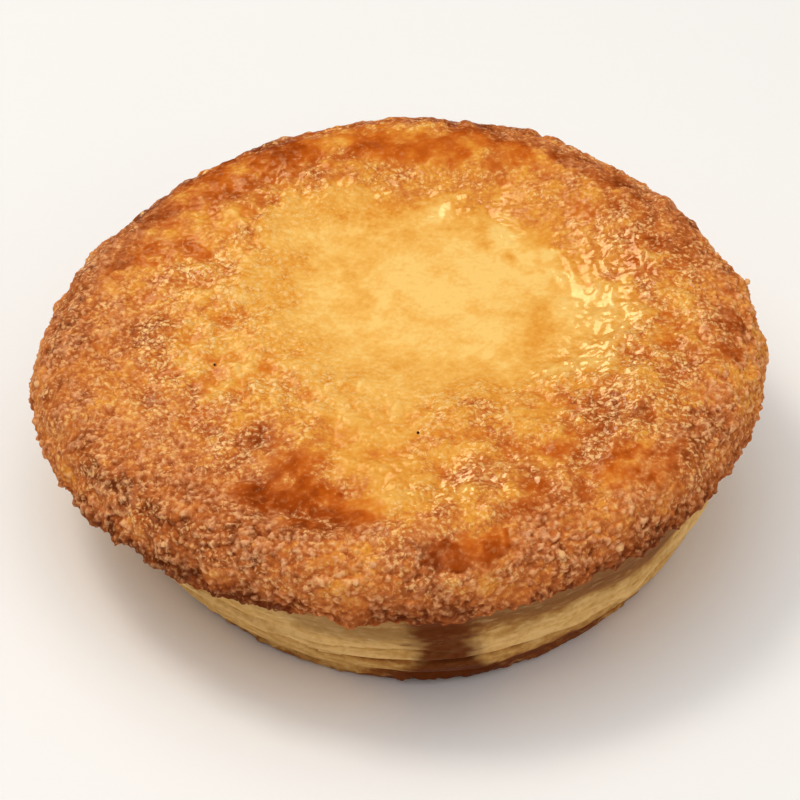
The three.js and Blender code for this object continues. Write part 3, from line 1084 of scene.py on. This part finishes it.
def case_relief(x, y, z):
    """Puffs, less a groove at each joint, plus the layers' edges, a lip over a crack, and burnt bits."""
    angle = np.arctan2(y, x)
    relief = lumps(x, y, z, *PASTRY_PUFF)
    for n, (_, depth, width, _) in enumerate(PASTRY_JOINTS):
        relief = relief - depth * bell(z - joint_height(n, angle), width)
    layer, gap = layers(x, y, z)
    stray = JOINT_STRAY["far"] * level_swell(x, y, JOINT_STRAY["width"], level=0.5)
    off = z - joint_height(MAIN_JOINT, angle) - stray
    crack = bell(off + JOINT_CRACK["below"], JOINT_CRACK["width"])
    relief = relief + LAYER["edge"] * layer + LIP["height"] * bell(off - LIP["above"], LIP["width"])
    ragged = swells(x, y, z, BASE_CRUMBS) * (1.0 - smooth(z, *BASE_CRUMBS_END))
    found = {"layer": layer, "gap": gap, "crack": crack, "above": off}
    return relief - JOINT_CRACK["depth"] * crack + ragged, found


def drip_at(x, y, z):
    """Caramel that ran down the front: a band under the rim that widens near the base."""
    wide = DRIP["half"] + (DRIP["spread"] - DRIP["half"]) * (1.0 - smooth(z, *DRIP_SPREADS))
    uneven = swells(x, y, DRIP_SQUEEZE * z, DRIP_EDGE)
    side = 1.0 - smooth(np.abs(x - DRIP["x"]) + uneven, wide - DRIP["inside"], wide + DRIP["outside"])
    return side * (y < 0.0)


def case_surface(share, angle):
    """Side profile turned to the angle, pushed out by the relief, shifted like the crust as it rises."""
    radius, height, out, _ = profile_at(CASE_SIDE, share)
    x, y = radius * np.cos(angle), radius * np.sin(angle)
    relief, found = case_relief(x, y, height)
    found["drip"] = drip_at(x, y, height)
    relief = relief * smooth(height, 0.0, FOOT_RISE)
    relief = relief + DRIP["thick"] * found["drip"] * smooth(height, 0.0, DRIP["rise"])
    rise = height / SEAT_HEIGHT
    puffed = SIDE_PUFF["share"] * np.maximum(0.0, np.cos(angle - SIDE_PUFF["angle"])) ** 2
    foot_wave = FOOT_WAVE["share"] * np.cos(FOOT_WAVE["count"] * angle)
    wide = 1.0 + (outline(angle) - 1.0 + puffed) * rise + foot_wave * (1.0 - rise)
    px = x * wide + out * np.cos(angle) * relief + SHIFT_X * rise
    py = y * wide + out * np.sin(angle) * relief + SHIFT_Y * rise
    found.update(x=x, y=y, z=height, angle=angle)
    return np.stack([px, py, height + LEAN * px * rise], axis=-1), found


sample, _ = case_surface(np.linspace(0, 1, 5), np.zeros(5))
print("case profile at the right, in mm", np.round(sample[:, [0, 2]], 1).tolist())

# %% [markdown]
# ## Pastry's finish
#
# Baked dough is matt. Short level fibres and fine flakes mottle it, and the edges of the thinnest flakes are
# cream. Nearer the crust it has painted shade, greyer and darker. Only the caramel that ran down is
# smoother.

# %% Pastry material
PASTRY = [
    (0.0, "#ecc07c"),
    (0.3, "#d09f59"),
    (0.6, "#a56a34"),
    (0.8, "#8a4e24"),
    (1.0, "#7a4228"),
]
# colour of the painted shade under the crust
SHADED_DOUGH = "#94693c"
CREAM_EDGE = "#efd097"
DRIPPED_CARAMEL = "#68300f"
FLAKE = 0.9  # width of a flake in millimetres
FIBRE_ALONG, FIBRE_HIGH = 2.2, 0.7  # length and height of a fibre of dough
MOTTLED = 0.55  # how far fibres and flakes change the browning
FLAKE_EDGE = {"From Min": 0.56, "From Max": 0.72, "To Max": 0.22}
THIN_CARAMEL = {"From Min": 0.8, "From Max": 1.3, "To Min": 1.0, "To Max": 0.92}
PASTRY_ROUGH = {"To Min": 0.62, "To Max": 0.35}  # from dough to caramel
FLAKE_HEIGHT = 0.45


def dough_noise(material):
    """Noise drawn out level as fibres, and the same plus finer noise of flakes."""
    place = add_node(material, "TexCoord", {}, "Object")
    flakes = {"Vector": place, "Scale": 1 / (FLAKE * MM), "Detail": 4.0}
    fine = add_node(material, "TexNoise", flakes)
    stretch = [1 / (size * MM) for size in (FIBRE_ALONG, FIBRE_ALONG, FIBRE_HIGH)]
    drawn = add_node(material, "VectorMath", {0: place, 1: stretch}, operation="MULTIPLY")
    fibres = {"Vector": drawn, "Scale": 1.0, "Detail": 3.0, "Distortion": 0.4}
    fibre = add_node(material, "TexNoise", fibres)
    return fibre, add_node(material, "Math", {0: fibre, 1: fine}, operation="ADD")


def pastry_colour(material, fibre, both, read):
    """Baked number, mottled, through the ramp, then painted shade, cream edges and caramel on top."""
    uneven = add_node(material, "Math", {0: 1.0, 1: both}, operation="SUBTRACT")
    mottling = {0: uneven, 1: MOTTLED, 2: read["baked"]}
    mottled = add_node(material, "Math", mottling, operation="MULTIPLY_ADD")
    edge = add_node(material, "MapRange", {"Value": fibre, **FLAKE_EDGE})
    thin = add_node(material, "MapRange", {"Value": both, **THIN_CARAMEL})
    soaked = add_node(material, "Math", {0: read["drip"], 1: thin}, operation="MULTIPLY")
    colour = add_node(material, "ValToRGB", {"Fac": mottled}, stops=PASTRY)
    for share, over in ((read["dull"], SHADED_DOUGH), (edge, CREAM_EDGE), (soaked, DRIPPED_CARAMEL)):
        mixed = {0: share, 6: colour, 7: linear(over)}
        colour = add_node(material, "Mix", mixed, 2, data_type="RGBA")
    return colour


def pastry_material():
    """Matt pastry: pale layers, painted shade in the joints, browner at the base, caramel where it ran down.
    """
    material, shader = new_material("laminated_puff_pastry_baked_in_a_tin")
    fibre, both = dough_noise(material)
    read = {
        name: add_node(material, "Attribute", {}, "Fac", attribute_name=name)
        for name in ("baked", "drip", "dull")
    }
    bump = {"Height": both, "Strength": 0.6, "Distance": FLAKE_HEIGHT * MM}
    fill_sockets(material, shader, {
        "Base Color": pastry_colour(material, fibre, both, read),
        "Roughness": add_node(material, "MapRange", {"Value": read["drip"], **PASTRY_ROUGH}),
        "Normal": add_node(material, "Bump", bump),
        "IOR": 1.45,
        "Specular IOR Level": 0.03,  # dry dough mirrors almost nothing
    })
    return material


PASTRY_FINISH = pastry_material()
print(PASTRY_FINISH.name, "has", len(PASTRY_FINISH.node_tree.nodes), "nodes")

# %% [markdown]
# ## The case
#
# Pale dough browned most at the base, which stood on the hot tin and is darkest at the front. Lower edges
# of layers and the lip over the main joint are painted lighter, and the cracks and gaps under them darker,
# as painted light and shade; painted shade also lies under the rim at the front right. The side is one
# closed band of rows. A fan closes it at the foot and another under the crust.

# %% Case piece
STREAKS = [(10.0, 1.4, 0.12), (5.0, 0.7, 0.06), (14.0, 3.0, 0.16)]  # length, height and strength of a streak
DOUGH = 0.15  # how brown plain dough is
# painted light and shade: lower edges of layers lighter, cracks and gaps under layer edges darker
LAYER_PAINTED_LIGHT_AND_SHADE = {"layer": -0.25, "crack": 0.45, "gap": 0.2}
# painted highlight along the lip over the main joint
LIP_PAINTED_HIGHLIGHT = {"above": 1.2, "width": 1.2, "share": 0.12}
BASE_RAGGED = [(3.0, 0.9), (1.2, 0.5)]
CASE_FRONT = {"angle": -1.27, "from": 0.86, "to": 0.97}  # cosines
BASE = {"edge": 1.1, "edge_front": 3.2, "below": 1.2, "above": 0.8, "brown": 0.42, "brown_front": 0.2}
UNDER_JOINT = {"from": -0.3, "to": 0.5, "brown": 0.03, "brown_front": 0.15}
# painted shade right under the rim at the front right
UNDER_RIM_SHADE = {"angle": -0.9, "from": 0.75, "to": 0.95, "low": 11.0, "high": 15.5, "brown": 0.75}  # under the rim
# painted shade that grows towards the overhanging crust
UNDER_CRUST_SHADE = {"from": 2.0, "to": 11.0, "share": 0.75, "squeeze": 2.0}
UNDER_CRUST_SHADE_PATCHES = [(9.0, 2.5), (4.0, 1.5)]


def baked_low(z, ragged, above, front):
    """Browning of the ragged base and of the layer under the main joint, both stronger at the front."""
    edge = BASE["edge"] + BASE["edge_front"] * front
    base = 1.0 - smooth(z + ragged, edge - BASE["below"], edge + BASE["above"])
    under = 1.0 - smooth(above, UNDER_JOINT["from"], UNDER_JOINT["to"])
    brown = [row["brown"] + row["brown_front"] * front for row in (UNDER_JOINT, BASE)]
    return under * brown[0] + base * brown[1]


def baked_of(found):
    """Pastry browning: streaks, base, and painted light and shade on layers, cracks and under the rim."""
    x, y, z, above = [found[key] for key in ("x", "y", "z", "above")]
    baked = DOUGH + sum(share * swell(x / along, y / along, z / high) for along, high, share in STREAKS)
    for key, share in LAYER_PAINTED_LIGHT_AND_SHADE.items():
        baked = baked + share * found[key]
    baked = baked - LIP_PAINTED_HIGHLIGHT["share"] * bell(above - LIP_PAINTED_HIGHLIGHT["above"], LIP_PAINTED_HIGHLIGHT["width"])
    ragged = swells(x, y, z, BASE_RAGGED)
    low = baked_low(z, ragged, above, facing(found["angle"], CASE_FRONT))
    under_rim_shade = smooth(z + ragged, UNDER_RIM_SHADE["low"], UNDER_RIM_SHADE["high"]) * facing(found["angle"], UNDER_RIM_SHADE)
    return np.clip(baked + low + UNDER_RIM_SHADE["brown"] * under_rim_shade, 0.0, 1.0)


def under_crust_shade_of(found):
    """Painted shade on the pastry: more towards the overhanging crust, in uneven patches."""
    patchy = swells(found["x"], found["y"], found["z"] * UNDER_CRUST_SHADE["squeeze"], UNDER_CRUST_SHADE_PATCHES)
    return UNDER_CRUST_SHADE["share"] * smooth(found["above"] + patchy, UNDER_CRUST_SHADE["from"], UNDER_CRUST_SHADE["to"])


def make_case():
    """Pastry case: rows up the side, closed by a fan at the foot and another under the crust."""
    step = 2 * math.pi / CASE_SEGMENTS
    share, angle = np.meshgrid(np.linspace(0, 1, CASE_ROWS), np.arange(CASE_SEGMENTS) * step, indexing="ij")
    points, found = case_surface(share.ravel(), angle.ravel())
    ring = np.arange(CASE_SEGMENTS)
    last = ring + (CASE_ROWS - 1) * CASE_SEGMENTS
    foot = np.stack([np.roll(ring, -1), ring, np.full_like(ring, len(points))], axis=-1)
    top = np.stack([last, np.roll(last, -1), np.full_like(ring, len(points) + 1)], axis=-1)
    middles = np.array([[0, 0, 0], [SHIFT_X, SHIFT_Y, SEAT_HEIGHT + LEAN * SHIFT_X]])
    faces = grid_faces(CASE_ROWS, CASE_SEGMENTS, closed=True).tolist() + foot.tolist() + top.tolist()
    measured = {"baked": baked_of(found), "drip": found["drip"], "dull": under_crust_shade_of(found)}
    numbers = {key: np.append(values, [values[0], values[-1]]) for key, values in measured.items()}
    return make_piece(
        "case_of_laminated_pastry", np.vstack([points, middles]), faces, numbers, PASTRY_FINISH
    )


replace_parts(make_case(), "pastry_case")

# %% [markdown]
# ## Camera
#
# The view looks down at about 42 degrees through a long lens, as a table-top picture does.

# %% Camera
VIEW_ELEVATION = math.radians(42.0)
VIEW_DISTANCE = 480.0
VIEW_TARGET = np.array([0.0, 0.0, 14.0])
PIXELS, PIXELS_PER_MM = 800, 7.17  # the picture's width, and its scale at the target
TARGET_PIXEL = (415, 411)  # where the target falls in the picture
SENSOR = 36.0


def make_camera():
    """Camera on the view ray, aimed beside the target so that the target falls on its pixel."""
    back = np.array([0.0, -math.cos(VIEW_ELEVATION), math.sin(VIEW_ELEVATION)])
    up = np.array([0.0, math.sin(VIEW_ELEVATION), math.cos(VIEW_ELEVATION)])
    off_x = (TARGET_PIXEL[0] - PIXELS / 2) / PIXELS_PER_MM
    off_y = (TARGET_PIXEL[1] - PIXELS / 2) / PIXELS_PER_MM
    aim = VIEW_TARGET - np.array([off_x, 0.0, 0.0]) + up * off_y
    place = VIEW_TARGET + back * VIEW_DISTANCE
    data = bpy.data.cameras.new("camera")
    data.sensor_width = SENSOR
    data.lens = PIXELS_PER_MM * VIEW_DISTANCE / PIXELS * SENSOR
    camera = bpy.data.objects.new("camera", data)
    camera.location = place * MM
    camera.rotation_euler = Vector(aim - place).to_track_quat("-Z", "Y").to_euler()
    bpy.context.collection.objects.link(camera)
    bpy.context.scene.camera = camera
    print("lens", round(data.lens, 1), "mm")


make_camera()

# %% [markdown]
# ## Light and floor
#
# A large soft light hangs over the tart, a small warm lamp stands at its left, and a weak light from the
# right fills the shadows, with a pale floor and a white surround. A lamp behind the tart shows only in the
# wet glaze, as glints. The surround and the soft light don't show there, or they would veil it.

# %% Light and floor
FLOOR_HALF = 3.0  # metres
SURROUND = 0.32  # strength of the white all round


def make_light(name, place, size, power, colour, only_glints=False, mirrored=True):
    """Square soft light at a place in metres, aimed at the tart: it may give glints alone, or none."""
    data = bpy.data.lights.new(name, "AREA")
    data.size = size
    data.energy = power
    data.color = linear(colour)[:3]
    light = bpy.data.objects.new(name, data)
    light.location = place
    light.visible_diffuse = not only_glints
    light.visible_glossy = mirrored
    light.rotation_euler = (-Vector(place)).to_track_quat("-Z", "Y").to_euler()
    bpy.context.collection.objects.link(light)
    print(name, power, "W")


def make_floor():
    """Large pale sheet that the tart stands on."""
    mesh = bpy.data.meshes.new("floor")
    corners = [(x * FLOOR_HALF, y * FLOOR_HALF, 0) for x, y in ((-1, -1), (1, -1), (1, 1), (-1, 1))]
    mesh.from_pydata(corners, [], [(0, 1, 2, 3)])
    material, shader = new_material("pale_matt_table")
    fill_sockets(material, shader, {"Base Color": linear("#fdfdfc"), "Roughness": 0.9})
    mesh.materials.append(material)
    floor = bpy.data.objects.new("floor", mesh)
    bpy.context.collection.objects.link(floor)


def make_surround():
    """White light from all round, which the glaze doesn't mirror."""
    world = bpy.data.worlds.new("white_surround")
    bpy.context.scene.world = world
    world.use_nodes = True
    background = world.node_tree.nodes["Background"]
    background.inputs["Color"].default_value = linear("#ffffff")
    background.inputs["Strength"].default_value = SURROUND
    world.cycles_visibility.glossy = False


make_light("softbox_overhead", (-0.1, -0.05, 0.85), 1.0, 4.1, "#ffffff", mirrored=False)
make_light("warm_lamp_at_the_left", (-0.3, 0.1, 0.75), 0.2, 1.5, "#fff4e4")
make_light("lamp_behind_for_glints", (-0.34, 0.67, 0.6), 0.42, 6.0, "#ffe9b4", only_glints=True)
make_light("fill_from_the_right", (0.5, -0.5, 0.45), 0.8, 1.1, "#fff4e8")
make_floor()
make_surround()
bpy.context.scene.view_settings.view_transform = "Standard"
